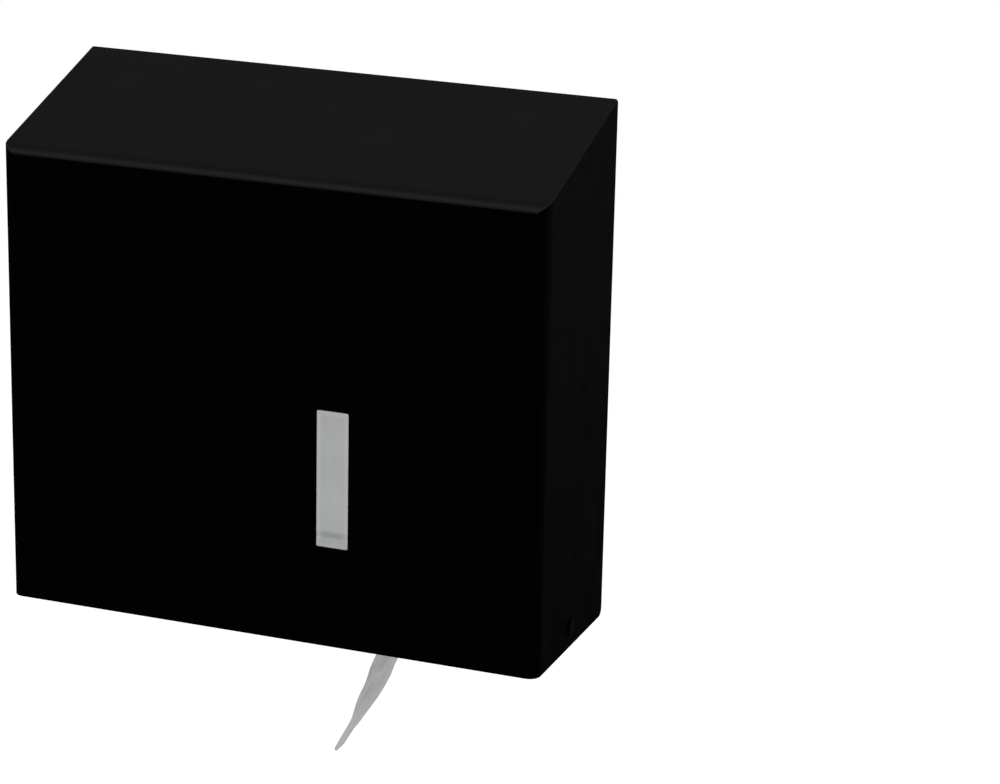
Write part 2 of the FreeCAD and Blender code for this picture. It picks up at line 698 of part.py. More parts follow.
# Three rivets that hold the spindle's flange, one group of separate solids
def make_rivets():
    rivets = doc.addObject("Part::Feature", "spindle_rivets")
    solids = []
    shank_length, shank_radius = number(FLANGE_FRONT), number("rivet_radius")
    head_radius, head_height = number("rivet_head_radius"), number("rivet_head_height")
    for x, y in rivet_places():
        place = FreeCAD.Vector(number(x), number(y), 0)
        shank = Part.makeCylinder(shank_radius, shank_length, place)
        foot = place + FreeCAD.Vector(0, 0, shank_length)
        head = Part.makeCone(head_radius, shank_radius, head_height, foot)
        solids.append(shank.fuse(head).removeSplitter())
    rivets.Shape = Part.makeCompound(solids)
    rivets.Label = "spindle_rivets"
    face_the_room(rivets)
    nodes.append(rivets)


# The hub: a boss with two wings whose pads carry the core, made along +Z and turned to the room
def make_hub():
    def cylinder(name, radius, low, length, angle=None, turn=None):
        piece = doc.addObject("Part::Cylinder", f"hub_{name}")
        bind(piece, "Radius", radius)
        bind(piece, "Height", length)
        bind(piece, "Placement.Base.z", low)
        if angle is not None:
            bind(piece, "Angle", angle)
            bind(piece, "Placement.Rotation.Angle", turn)
        return piece

    boss = cylinder("boss", "hub_radius", HUB_BACK, f"{HUB_FRONT} - {HUB_BACK}")
    wing_back = "(roll_wall_gap + wing_rear_step)"
    wing_length = f"({HUB_FRONT} - wing_front_step - {wing_back})"
    pad_outer = "(core_bore_radius - wing_pad_clearance)"
    pad_inner = f"({pad_outer} - wing_pad_thickness)"
    pieces = [boss]
    for count, turn in enumerate(("wing_angle", f"(wing_angle + {FULL_TURN} / 2)"), start=1):
        web = doc.addObject("Part::Box", f"hub_web_{count}")
        bind(web, "Length", f"{pad_inner} + wing_pad_thickness / 2 - hub_recess_radius")
        bind(web, "Width", "wing_thickness")
        bind(web, "Height", wing_length)
        bind(web, "Placement.Rotation.Angle", turn)
        bind(web, "Placement.Base.x",
             f"hub_recess_radius * cos({turn}) + wing_thickness / 2 * sin({turn})")
        bind(web, "Placement.Base.y",
             f"hub_recess_radius * sin({turn}) - wing_thickness / 2 * cos({turn})")
        bind(web, "Placement.Base.z", wing_back)
        sector = cylinder(f"pad_{count}", pad_outer, wing_back, wing_length, "wing_pad_span",
                          f"{turn} - wing_pad_lap")
        hollow = cylinder(f"pad_hollow_{count}", pad_inner, f"{wing_back} - overrun",
                          f"{wing_length} + 2 * overrun")
        shell = doc.addObject("Part::Cut", f"hub_pad_shell_{count}")
        shell.Base = sector
        shell.Tool = hollow
        pieces += [web, shell]
    blank = doc.addObject("Part::MultiFuse", "hub_blank")
    blank.Shapes = pieces
    bore = cylinder("bore", "spindle_radius + running_clearance", "0", f"{HUB_FRONT} + overrun")
    recess = cylinder("recess", "hub_recess_radius", RECESS_FLOOR, "hub_recess_depth + overrun")
    cuts = doc.addObject("Part::MultiFuse", "hub_cuts")
    cuts.Shapes = [bore, recess]
    hub = doc.addObject("Part::Cut", "reel_hub")
    hub.Base = blank
    hub.Tool = cuts
    hub.Refine = True
    hub.Label = "reel_hub"
    face_the_room(hub)
    doc.recompute()
    nodes.append(hub)


# The roll of paper on its core
def make_roll():
    core = turned("roll_core", ring_profile("core_bore_radius", CORE_OUTER, "roll_wall_gap", ROLL_FRONT))
    roll = turned("paper_roll", [
        (f"{CORE_OUTER} + core_fit", "roll_wall_gap"),
        ("roll_radius - roll_edge_bevel", "roll_wall_gap"),
        ("roll_radius", "roll_wall_gap + roll_edge_bevel"),
        ("roll_radius", f"{ROLL_FRONT} - roll_edge_bevel"),
        ("roll_radius - roll_edge_bevel", ROLL_FRONT),
        (f"{CORE_OUTER} + core_fit", ROLL_FRONT),
    ])
    for piece in (core, roll):
        face_the_room(piece)


# The loose end of the paper: a thin curved sheet that leaves the roll and hangs through the gap
def make_tail():
    width, thickness, past = number("roll_width"), number("tail_thickness"), number("overrun")
    front = -number(ROLL_FRONT)
    start = FreeCAD.Vector(number("roll_radius + tail_roll_clearance"), front, 0)
    gap = FreeCAD.Vector(number("guide_gap / 2 - tail_guide_clearance"), front, -number(GUIDE_DROP))
    tip = FreeCAD.Vector(number("tail_tip_offset"), front, -number("cover_drop + tail_hang"))
    inner_side = []
    for high, low, shares in ((start, gap, TAIL_UPPER_SHARES), (gap, tip, TAIL_LOWER_SHARES)):
        for across, down in shares:
            inner_side.append(FreeCAD.Vector(
                high.x + (low.x - high.x) * across, front, high.z + (low.z - high.z) * down))
    inner = Part.BSplineCurve()
    inner.interpolate(inner_side)
    outer_side = []
    for point in inner_side:
        along = inner.tangent(inner.parameter(point))[0]
        outer_side.append(point + FreeCAD.Vector(-along.z, 0, along.x) * thickness)
    outer = Part.BSplineCurve()
    outer.interpolate(outer_side)
    ends = [Part.LineSegment(inner_side[index], outer_side[index]) for index in (0, -1)]
    rim = Part.Wire(Part.sortEdges([curve.toShape() for curve in (inner, outer, *ends)])[0])
    strip = Part.Face(rim).extrude(FreeCAD.Vector(0, width, 0))

    # Everything below the torn edge is cut away
    tear = [FreeCAD.Vector(0, front + back * width, gap.z + (tip.z - gap.z) * down)
            for back, down in TAIL_TEAR_SHARES]
    rear_end, below = front + width + past, tip.z - past
    corners = [
        FreeCAD.Vector(0, rear_end, tear[-1].z),
        FreeCAD.Vector(0, rear_end, below),
        FreeCAD.Vector(0, front - past, below),
        FreeCAD.Vector(0, front - past, tear[0].z),
    ]
    waste = Part.Face(Part.makePolygon(tear + corners + [tear[0]]))
    waste = waste.extrude(FreeCAD.Vector(start.x + past, 0, 0))
    tail = doc.addObject("Part::Feature", "paper_tail")
    tail.Shape = strip.cut(waste)
    tail.Label = "paper_tail"
    nodes.append(tail)


# A blank label on the plate above the roll
def make_label():
    label = doc.addObject("Part::Box", "blank_label")
    bind(label, "Length", "label_width")
    bind(label, "Width", "label_thickness")
    bind(label, "Height", "label_height")
    bind(label, "Placement.Base.x", "-label_width / 2")
    bind(label, "Placement.Base.y", "-plate_sheet - label_thickness")
    bind(label, "Placement.Base.z", "label_top_rise - label_height")
    label.Label = "blank_label"
    nodes.append(label)


# The latch: a bracket under the cover's top, a sprung hook on a pin, its barb behind the plate's lip
PIN_PLACE = ("-latch_pin_setback", LATCH_PIN_RISE)
HOOK_TAIL_TOP = f"({LATCH_PIN_RISE} - latch_tail_drop + latch_hook_thickness)"
BRACKET_INSIDE = "(latch_hook_width + 2 * latch_side_clearance)"
BRACKET_OUTSIDE = f"({BRACKET_INSIDE} + 2 * latch_bracket_sheet)"
BRACKET_WEB = "(cover_sheet + latch_bracket_sheet)"


def make_latch():
    bracket = new_body("latch_bracket")
    front, rear = "latch_bracket_front_setback", "latch_bracket_rear_setback"
    low = f"({LATCH_PIN_RISE} - latch_bracket_margin)"
    outside = new_sketch(bracket, "side_view", "YZ_Plane")
    add_outline(outside, [
        (f"-{front}", low),
        (f"-{rear}", low),
        (f"-{rear}", cover_roof(rear, "cover_sheet")),
        (f"-{front}", cover_roof(front, "cover_sheet")),
    ])
    pad(bracket, outside, BRACKET_OUTSIDE, symmetric=True)
    inside = new_sketch(bracket, "inside", "YZ_Plane")
    add_outline(inside, [
        (f"-{front} - overrun", f"{low} - overrun"),
        (f"-{rear} + overrun", f"{low} - overrun"),
        (f"-{rear} + overrun", cover_roof(f"{rear} - overrun", BRACKET_WEB)),
        (f"-{front} - overrun", cover_roof(f"{front} + overrun", BRACKET_WEB)),
    ])
    pocket(bracket, inside, BRACKET_INSIDE, both_ways=True)
    hole = new_sketch(bracket, "pin_hole", "YZ_Plane")
    add_circle(hole, PIN_PLACE, "latch_pin_radius")
    pocket(bracket, hole, both_ways=True)

    pin = new_body("latch_pin")
    section = new_sketch(pin, "section", "YZ_Plane")
    add_circle(section, PIN_PLACE, "latch_pin_radius")
    pad(pin, section, BRACKET_OUTSIDE, symmetric=True)

    hook = new_body("latch_hook")
    boss = new_sketch(hook, "boss", "YZ_Plane")
    add_circle(boss, PIN_PLACE, "latch_boss_radius")
    pad(hook, boss, "latch_hook_width", symmetric=True)
    arm = new_sketch(hook, "arm", "YZ_Plane")
    tail_end = "-latch_pin_setback - latch_tail_length"
    arm_low = f"({LATCH_ARM_RISE} - latch_hook_thickness)"
    barb_top = f"({LATCH_ARM_RISE} + latch_barb_height)"
    add_outline(arm, [
        (tail_end, f"{HOOK_TAIL_TOP} - latch_hook_thickness"),
        ("-latch_pin_setback", f"{HOOK_TAIL_TOP} - latch_hook_thickness"),
        ("-latch_arm_bend_setback", arm_low),
        ("-latch_tip_setback", arm_low),
        ("-latch_tip_setback", barb_top),
        ("-latch_tip_setback - latch_barb_thickness", barb_top),
        ("-latch_tip_setback - latch_barb_thickness", LATCH_ARM_RISE),
        ("-latch_arm_bend_setback - latch_hook_thickness", LATCH_ARM_RISE),
        ("-latch_pin_setback", HOOK_TAIL_TOP),
        (tail_end, HOOK_TAIL_TOP),
    ])
    pad(hook, arm, "latch_hook_width", symmetric=True)
    bore = new_sketch(hook, "bore", "YZ_Plane")
    add_circle(bore, PIN_PLACE, "latch_pin_radius + running_clearance")
    pocket(hook, bore, both_ways=True)

    # A leaf bent round between the bracket's web and the hook's tail
    place = "(latch_pin_setback + latch_spring_offset)"
    height = f"({cover_roof(place, BRACKET_WEB)} - {HOOK_TAIL_TOP} - 2 * latch_spring_clearance)"
    radius, length = number(f"{height} / 2"), number("latch_spring_length")
    foot = number(f"{HOOK_TAIL_TOP} + latch_spring_clearance")
    middle = FreeCAD.Vector(-length / 2, -number(place), foot + radius)
    along = FreeCAD.Vector(1, 0, 0)
    outer = Part.makeCylinder(radius, length, middle, along)
    inner = Part.makeCylinder(radius - number("latch_spring_thickness"), length, middle, along)
    rear_half = Part.makeBox(length, 2 * radius, 2 * radius, middle - FreeCAD.Vector(0, 0, radius))
    spring = doc.addObject("Part::Feature", "latch_spring")
    spring.Shape = outer.cut(inner).cut(rear_half)
    spring.Label = "latch_spring"
    nodes.append(spring)


make_cover()
make_window()
make_pivots()
make_back_plate()
make_guides()
make_spindle()
make_rivets()
make_hub()
make_roll()
make_tail()
make_label()
make_latch()
doc.recompute()

for item in doc.Objects:
    if "Invalid" in item.State or "Error" in item.State:
        raise RuntimeError(f"{item.Name}: {item.State}")
for item in nodes:
    if item.Shape.isNull() or not item.Shape.isValid() or not item.Shape.Solids:
        raise RuntimeError(f"{item.Label} has no valid solid")

os.makedirs("parts", exist_ok=True)
for item in nodes:
    item.Shape.exportStep(os.path.join("parts", f"{item.Label}.step"))
    box = item.Shape.BoundBox
    print(f"{item.Label}: {len(item.Shape.Solids)} solid(s), {item.Shape.Volume:.1f} mm3, "
          f"{box.XLength:.1f} x {box.YLength:.1f} x {box.ZLength:.1f} mm")
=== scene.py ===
import json
import math

import bmesh
import bpy
import numpy as np
from mathutils import Matrix, Vector, noise


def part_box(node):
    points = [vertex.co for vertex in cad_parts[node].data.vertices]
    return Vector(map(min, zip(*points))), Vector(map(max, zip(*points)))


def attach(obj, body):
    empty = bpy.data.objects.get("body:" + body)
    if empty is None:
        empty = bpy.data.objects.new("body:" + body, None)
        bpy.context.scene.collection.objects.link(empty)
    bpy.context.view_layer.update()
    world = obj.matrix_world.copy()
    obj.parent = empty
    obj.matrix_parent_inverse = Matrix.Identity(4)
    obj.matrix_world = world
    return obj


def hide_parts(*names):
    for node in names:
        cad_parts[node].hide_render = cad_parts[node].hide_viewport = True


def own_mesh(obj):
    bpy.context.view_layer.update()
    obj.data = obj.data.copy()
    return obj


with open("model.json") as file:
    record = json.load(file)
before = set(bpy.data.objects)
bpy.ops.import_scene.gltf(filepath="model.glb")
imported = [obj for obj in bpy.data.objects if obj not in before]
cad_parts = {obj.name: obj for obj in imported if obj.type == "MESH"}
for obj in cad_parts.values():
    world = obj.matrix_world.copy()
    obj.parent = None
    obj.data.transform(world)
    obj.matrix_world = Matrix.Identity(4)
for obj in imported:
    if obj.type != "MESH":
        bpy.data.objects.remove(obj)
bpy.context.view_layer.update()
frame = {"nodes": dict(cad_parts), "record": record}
scene = bpy.context.scene
scene.view_settings.view_transform = "Standard"
scene.frame_set(1)
MM = 0.001


# Camera: the photograph's view
camera_data = bpy.data.cameras.new("view_camera")
camera_data.sensor_width = 36.0
camera_data.lens = 118.01
camera_data.clip_end = 60.0
camera = bpy.data.objects.new("view_camera", camera_data)
scene.collection.objects.link(camera)
right = Vector((0.935361, 0.353017, 0.021883))
down = Vector((0.125343, -0.272986, -0.953818))
ahead = Vector((-0.330740, 0.894907, -0.299588))
turn = Matrix((right, -down, -ahead)).transposed()
camera.matrix_world = Matrix.Translation((0.8193, -1.9198, 0.6411)) @ turn.to_4x4()
scene.camera = camera


# Shader helpers
def node_tree(name):
    material = bpy.data.materials.new(name)
    material.use_nodes = True
    material.node_tree.nodes.clear()
    return material, material.node_tree.nodes, material.node_tree.links


def set_sockets(node, values):
    for name, value in values.items():
        node.inputs[name].default_value = value


def add(nodes, kind, **values):
    node = nodes.new(kind)
    for name, value in values.items():
        setattr(node, name, value)
    return node


class Recipe:
    """A principled material whose colour, roughness and relief come from layers of noise."""

    def __init__(self, name, roughness, metallic=0.0, specular=0.5):
        self.material, self.nodes, self.links = node_tree(name)
        self.output = add(self.nodes, "ShaderNodeOutputMaterial")
        self.shader = add(self.nodes, "ShaderNodeBsdfPrincipled")
        self.links.new(self.shader.outputs[0], self.output.inputs["Surface"])
        levels = {"Roughness": roughness, "Metallic": metallic, "Specular IOR Level": specular}
        set_sockets(self.shader, levels)
        self.place = add(self.nodes, "ShaderNodeTexCoord").outputs["Object"]
        self.relief = None

    def noise(self, scale, stretch=(1, 1, 1), detail=3.0, rough=0.5, at=None):
        mapping = add(self.nodes, "ShaderNodeMapping")
        mapping.inputs["Scale"].default_value = stretch
        self.links.new(at or self.place, mapping.inputs["Vector"])
        texture = add(self.nodes, "ShaderNodeTexNoise")
        set_sockets(texture, {"Scale": scale, "Detail": detail, "Roughness": rough})
        self.links.new(mapping.outputs[0], texture.inputs["Vector"])
        return texture.outputs["Fac"]

    def ramp(self, value, dark, light):
        """Runs from a dark colour to a light one over the middle of a noise's range."""
        node = add(self.nodes, "ShaderNodeValToRGB")
        for element, place, colour in zip(node.color_ramp.elements, (0.3, 0.7), (dark, light)):
            element.position = place
            element.color = (*colour, 1.0)
        self.links.new(value, node.inputs[0])
        return node.outputs[0]

    def blend(self, factor, first, second):
        node = add(self.nodes, "ShaderNodeMix", data_type="RGBA")
        for socket, value in ((node.inputs[0], factor), (node.inputs[6], first), (node.inputs[7], second)):
            if isinstance(value, bpy.types.NodeSocket):
                self.links.new(value, socket)
            elif hasattr(value, "__len__"):
                socket.default_value = (*value, 1.0)
            else:
                socket.default_value = value
        return node.outputs[2]

    def maths(self, kind, first, second=0.0):
        node = add(self.nodes, "ShaderNodeMath", operation=kind)
        for socket, value in zip(node.inputs, (first, second)):
            if isinstance(value, bpy.types.NodeSocket):
                self.links.new(value, socket)
            else:
                socket.default_value = value
        return node.outputs[0]

    def spread(self, value, low, high, start=0.3, end=0.7):
        node = add(self.nodes, "ShaderNodeMapRange")
        set_sockets(node, {"From Min": start, "From Max": end, "To Min": low, "To Max": high})
        self.links.new(value, node.inputs["Value"])
        return node.outputs[0]

    def axes(self):
        node = add(self.nodes, "ShaderNodeSeparateXYZ")
        self.links.new(self.place, node.inputs[0])
        return node.outputs

    def facing(self, direction, start, end):
        """1 where the surface faces a direction of the part, 0 where it faces away."""
        normal = add(self.nodes, "ShaderNodeTexCoord").outputs["Normal"]
        dot = add(self.nodes, "ShaderNodeVectorMath", operation="DOT_PRODUCT")
        self.links.new(normal, dot.inputs[0])
        dot.inputs[1].default_value = Vector(direction).normalized()
        return self.spread(dot.outputs["Value"], 0.0, 1.0, start, end)

    def polar(self, along, around):
        """A texture place that runs with the radius from the roll's axis and once round it."""
        x, _, z = self.axes()
        squares = [self.maths("MULTIPLY", axis, axis) for axis in (x, z)]
        radius = self.maths("SQRT", self.maths("ADD", *squares))
        turned = [self.maths("MULTIPLY", self.maths("DIVIDE", axis, radius), around) for axis in (x, z)]
        node = add(self.nodes, "ShaderNodeCombineXYZ")
        for value, socket in zip((self.maths("MULTIPLY", radius, along), *turned), node.inputs):
            self.links.new(value, socket)
        return node.outputs[0]

    def paint(self, colour):
        self.links.new(colour, self.shader.inputs["Base Color"])

    def gloss(self, value):
        self.links.new(value, self.shader.inputs["Roughness"])

    def bump(self, value, strength, distance):
        node = add(self.nodes, "ShaderNodeBump")
        set_sockets(node, {"Strength": strength, "Distance": distance})
        self.links.new(value, node.inputs["Height"])
        if self.relief is not None:
            self.links.new(self.relief, node.inputs["Normal"])
        self.relief = node.outputs[0]
        self.links.new(self.relief, self.shader.inputs["Normal"])


def grey(level):
    return (level, level, level)


def shade(colour, factor):
    return tuple(channel * factor for channel in colour)


def tones(colour, spread):
    """A colour's dark and light neighbours."""
    return shade(colour, 1.0 - spread), shade(colour, 1.0 + spread)


# Materials
ROOF = Vector((0.0, -0.313, 0.950))


def powder_coat():
    """Fine-textured black powder coat, with painted light and shade by facing: a lighter roof, painted
    highlights on the folds, side walls lighter towards the top and lighter inner faces.
    """
    mat = Recipe("black_powder_coat", 0.55, specular=0.0010)
    # Noise that varies the painted light on the roof
    roof_light_noise = mat.noise(38.0, detail=5.0)
    speck = mat.noise(900.0, detail=2.0)
    across, _, up_place = mat.axes()
    height = mat.spread(up_place, 0.0, 1.0, -0.14, 0.20)
    front = mat.ramp(speck, grey(0.0004), grey(0.0008))
    # Painted light and shade: both side walls are painted lighter than the front, lighter at the top and
    # darker towards the bottom
    right, left = mat.facing((1, 0, 0), 0.66, 0.90), mat.facing((-1, 0, 0), 0.66, 0.90)
    painted_side_light = mat.blend(height, grey(0.0003), grey(0.0026))
    faced = mat.blend(mat.maths("MAXIMUM", right, left), front, painted_side_light)
    # Painted light: where the cover faces up along its roof it is painted lighter
    roof = mat.facing(ROOF, 0.36, 0.56)
    faced = mat.blend(roof, faced, mat.ramp(roof_light_noise, grey(0.0068), grey(0.0077)))
    # Painted highlight along the fold between the roof and the front
    bent = mat.maths("SUBTRACT", 1.0, mat.facing(ROOF, 0.66, 0.84))
    faced = mat.blend(mat.maths("MULTIPLY", roof, bent), faced, grey(0.0150))
    # Painted highlight along the fold between the roof and the right side
    side_fold_highlight = mat.facing((0.71, -0.22, 0.67), 0.88, 0.97)
    faced = mat.blend(side_fold_highlight, faced, grey(0.0100))
    # Painted light: the inner faces of the side walls, the front and the roof are painted a lighter black
    on_left = mat.spread(across, 1.0, 0.0, -1 * MM, 1 * MM)
    on_right = mat.maths("SUBTRACT", 1.0, on_left)
    inner_walls = mat.maths(
        "MAXIMUM", mat.maths("MULTIPLY", right, on_left), mat.maths("MULTIPLY", left, on_right))
    backs = mat.maths("MAXIMUM", mat.facing((0, 1, 0), 0.5, 0.8), mat.facing(-ROOF, 0.5, 0.8))
    mat.paint(mat.blend(mat.maths("MAXIMUM", inner_walls, backs), faced, grey(0.0065)))
    mat.gloss(mat.spread(mat.noise(60.0), 0.50, 0.60))
    mat.bump(mat.noise(1400.0, detail=2.0), 0.25, 0.2 * MM)
    mat.bump(mat.noise(260.0, detail=1.0), 0.08, 0.3 * MM)
    return mat.material


def metal(name, colour, roughness, brush=(1, 1, 1), scale=60.0, relief=0.08, grain=0.05):
    """Bare metal with fine brush lines and faint clouds."""
    mat = Recipe(name, roughness, metallic=1.0)
    lines = mat.noise(scale, stretch=brush, detail=4.0, rough=0.65)
    cloud = mat.noise(9.0, detail=3.0)
    brushed = mat.ramp(lines, *tones(colour, grain))
    mat.paint(mat.blend(mat.spread(cloud, 0.0, 0.35), brushed, shade(colour, 0.9)))
    mat.gloss(mat.spread(cloud, roughness * 0.9, roughness * 1.12))
    mat.bump(lines, relief, 0.1 * MM)
    return mat.material


def plastic(name, colour, roughness, specular=0.4):
    """An even skin with faint clouds and a fine grain."""
    mat = Recipe(name, roughness, specular=specular)
    mat.paint(mat.ramp(mat.noise(55.0, detail=4.0), *tones(colour, 0.04)))
    mat.gloss(mat.spread(mat.noise(90.0), roughness * 0.92, roughness * 1.08))
    mat.bump(mat.noise(700.0, detail=2.0), 0.12, 0.1 * MM)
    return mat.material


TISSUE = (0.775, 0.742, 0.722)
# Grey of the painted shade on the loose sheet's lower part
SHADED_TISSUE = (0.527, 0.540, 0.548)


def tissue(name, wound):
    """Soft paper: crepe across the sheet, and on a roll's ends the fine lines of the winding."""
    mat = Recipe(name, 0.92, specular=0.15)
    cloud = mat.noise(16.0, detail=4.0)
    fibre = mat.noise(420.0, detail=3.0)
    base = mat.ramp(cloud, *tones(TISSUE, 0.045))
    if not wound:
        # Painted shade: low down, the loose sheet darkens in patches towards a grey
        low_down = mat.spread(mat.axes()[2], 1.0, 0.0, -0.150, -0.105)
        patches = mat.spread(mat.noise(130.0, detail=2.0), 0.45, 1.0, 0.32, 0.68)
        base = mat.blend(mat.maths("MULTIPLY", low_down, patches), base, SHADED_TISSUE)
    mottled = mat.blend(mat.spread(fibre, 0.0, 0.18), base, shade(TISSUE, 0.86))
    crepe = mat.noise(900.0, stretch=(1, 0.10, 1), detail=2.0)
    if wound:
        lines = mat.noise(1.0, detail=3.0, rough=0.7, at=mat.polar(1500.0, 0.7))
        bands = mat.noise(1.0, detail=2.0, at=mat.polar(160.0, 0.8))
        end = mat.facing((0, -1, 0), 0.6, 0.95)
        ringed = mat.blend(mat.spread(lines, 0.0, 0.22), mottled, shade(TISSUE, 0.80))
        ringed = mat.blend(mat.spread(bands, 0.0, 0.16), ringed, shade(TISSUE, 0.86))
        mat.paint(mat.blend(end, mottled, ringed))
        mat.bump(mat.maths("MULTIPLY", lines, end), 0.22, 0.3 * MM)
    else:
        mat.paint(mottled)
    mat.gloss(mat.spread(cloud, 0.88, 0.96))
    mat.bump(crepe, 0.30, 0.2 * MM)
    mat.bump(fibre, 0.20, 0.2 * MM)
    return mat.material


def core_board():
    """Pale wound board with darker fibres."""
    mat = Recipe("core_board", 0.85, specular=0.2)
    base = mat.ramp(mat.noise(120.0, detail=5.0), (0.53, 0.505, 0.47), (0.63, 0.60, 0.56))
    fibre = mat.noise(500.0, stretch=(1, 0.25, 1), detail=3.0)
    mat.paint(mat.blend(mat.spread(fibre, 0.0, 0.35), base, (0.44, 0.41, 0.37)))
    mat.gloss(mat.spread(fibre, 0.80, 0.90))
    mat.bump(fibre, 0.35, 0.3 * MM)
    return mat.material


# The pane's rim behind the sheet, and the height of the moulded line above its foot
PANE_RIM = 3.5 * MM
FOOT_LINE = 6.6 * MM


def frosted_pane():
    """Frosted grey plastic, lighter towards its border, with painted shade in the groove above its foot."""
    mat = Recipe("frosted_plastic", 0.5, specular=0.4)
    low, high = (Vector(corner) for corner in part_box("window_pane"))
    middle, half = (low.x + high.x) / 2, (high.x - low.x) / 2 - PANE_RIM
    x, _, z = mat.axes()
    from_side = mat.maths("SUBTRACT", half, mat.maths("ABSOLUTE", mat.maths("SUBTRACT", x, middle)))
    over_foot = mat.maths("SUBTRACT", z, low.z + PANE_RIM)
    under_top = mat.maths("SUBTRACT", high.z - PANE_RIM, z)
    inward = mat.maths("MINIMUM", from_side, mat.maths("MINIMUM", over_foot, under_top))
    base = mat.ramp(mat.noise(55.0, detail=4.0), (0.385, 0.39, 0.39), (0.425, 0.43, 0.43))
    streaks = mat.noise(210.0, stretch=(1, 1, 0.06), detail=2.0)
    base = mat.blend(mat.spread(streaks, 0.0, 0.3), base, (0.36, 0.365, 0.365))
    border = mat.spread(inward, 0.75, 0.0, 1.2 * MM, 3.6 * MM)
    base = mat.blend(border, base, (0.50, 0.505, 0.505))
    lip = mat.spread(over_foot, 0.5, 0.0, FOOT_LINE - 1.6 * MM, FOOT_LINE)
    base = mat.blend(lip, base, (0.35, 0.355, 0.355))
    # Painted shade in the groove above the foot line
    rise = mat.spread(over_foot, 0.0, 0.9, FOOT_LINE - 1.6 * MM, FOOT_LINE + 0.6 * MM)
    fall = mat.spread(over_foot, 1.0, 0.0, FOOT_LINE + 2.0 * MM, FOOT_LINE + 5.5 * MM)
    centred = mat.spread(from_side, 0.2, 1.0, 1.5 * MM, 6.0 * MM)
    hollow_shade = mat.maths("MULTIPLY", mat.maths("MULTIPLY", rise, fall), centred)
    mat.paint(mat.blend(hollow_shade, base, (0.27, 0.275, 0.275)))
    mat.gloss(mat.spread(mat.noise(90.0), 0.46, 0.54))
    mat.bump(mat.noise(800.0, detail=2.0), 0.12, 0.1 * MM)
    return mat.material


MATERIALS = {
    "black_powder_coat": powder_coat(),
    "black_plated_steel": plastic("black_plated_steel", grey(0.0006), 0.5, specular=0.0015),
    "stainless_sheet": metal("stainless_sheet", (0.437, 0.424, 0.418), 0.42, brush=(14, 1, 0.35), scale=110.0,
                             relief=0.03, grain=0.025),
    "turned_steel": metal("turned_steel", grey(0.55), 0.30, brush=(1, 12, 1), scale=90.0),
    "zinc_steel": metal("zinc_steel", (0.50, 0.50, 0.49), 0.40, scale=300.0),
    "spring_steel": metal("spring_steel", (0.45, 0.45, 0.46), 0.30, scale=300.0),
    "frosted_plastic": frosted_pane(),
    "grey_plastic": plastic("grey_plastic", grey(0.20), 0.5),
    "light_grey_plastic": plastic("light_grey_plastic", (0.55, 0.55, 0.54), 0.42),
    "white_nylon": plastic("white_nylon", (0.70, 0.70, 0.67), 0.4),
    "core_board": core_board(),
    "tissue_roll": tissue("tissue_roll", wound=True),
    "tissue_paper": tissue("tissue_paper", wound=False),
    "label_film": plastic("label_film", (0.75, 0.75, 0.74), 0.35),
}
for row in frame["record"]["subparts"]:
    node = frame["nodes"][row["node"]]
    node.data.materials.clear()
    node.data.materials.append(MATERIALS[row["material_slot"]])


# Meshes
def grid_faces(rows, columns, closed_rows=False, closed_columns=False):
    """Four-sided faces for a grid of points, which may close on itself either way."""
    faces = []
    for row in range(rows if closed_rows else rows - 1):
        after = (row + 1) % rows * columns
        for column in range(columns if closed_columns else columns - 1):
            beside = (column + 1) % columns
            faces.append((row * columns + column, row * columns + beside, after + beside, after + column))
    return faces


def closed_sheet_faces(rows, columns):
    """Faces for a grid's front layer, its back layer and the rim that joins them."""
    front = grid_faces(rows, columns)
    count = rows * columns
    back = [tuple(count + corner for corner in reversed(face)) for face in front]
    rim = [(0, column) for column in range(columns - 1)]
    rim += [(row, columns - 1) for row in range(rows - 1)]
    rim += [(rows - 1, column) for column in range(columns - 1, 0, -1)]
    rim += [(row, 0) for row in range(rows - 1, 0, -1)]
    rim = [row * columns + column for row, column in rim]
    closing = [(a, b, b + count, a + count) for a, b in zip(rim, rim[1:] + rim[:1])]
    return front + back + closing


def make_piece(name, points, faces, slot, body, *nodes, smooth=True):
    """A mesh piece in a slot's material that rides on a body and stands for CAD nodes."""
    data = bpy.data.meshes.new(name)
    data.from_pydata([tuple(map(float, point)) for point in points], [], faces)
    shape = bmesh.new()
    shape.from_mesh(data)
    bmesh.ops.recalc_face_normals(shape, faces=shape.faces)
    shape.to_mesh(data)
    shape.free()
    data.materials.append(MATERIALS[slot])
    data.polygons.foreach_set("use_smooth", [smooth] * len(data.polygons))
    data.update()
    piece = bpy.data.objects.new(name, data)
    scene.collection.objects.link(piece)
    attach(piece, body)
    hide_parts(*nodes)
    return piece


def soft_noise(x, y, z):
    """Smooth noise at each place of three arrays that are broadcast together."""
    x, y, z = np.broadcast_arrays(x, y, z)
    values = [noise.noise(Vector(place)) for place in zip(x.flat, y.flat, z.flat)]
    return np.array(values).reshape(x.shape)


# The paper roll: a wound spiral whose last layer ends where the loose paper leaves it
ROLL_CREASES = (
    # across and up from the axis, start and end, then depth, in millimetres
    (26, 28, 76, 72, 0.63), (30, 33, 58, 39, 0.51), (42, 37, 60, 36, 0.39), (78, 70, 104, 24, 0.75),
    (66, 71, 89, 74, 0.45), (-66, 92, -32, 42, 0.39), (-74, 66, -37, 3, 0.36), (-63, 58, -26, 39, 0.36),
    (-80, 40, -48, 30, 0.30), (-76, -66, -37, -37, 0.36), (12, -46, 20, -96, 0.24),
)


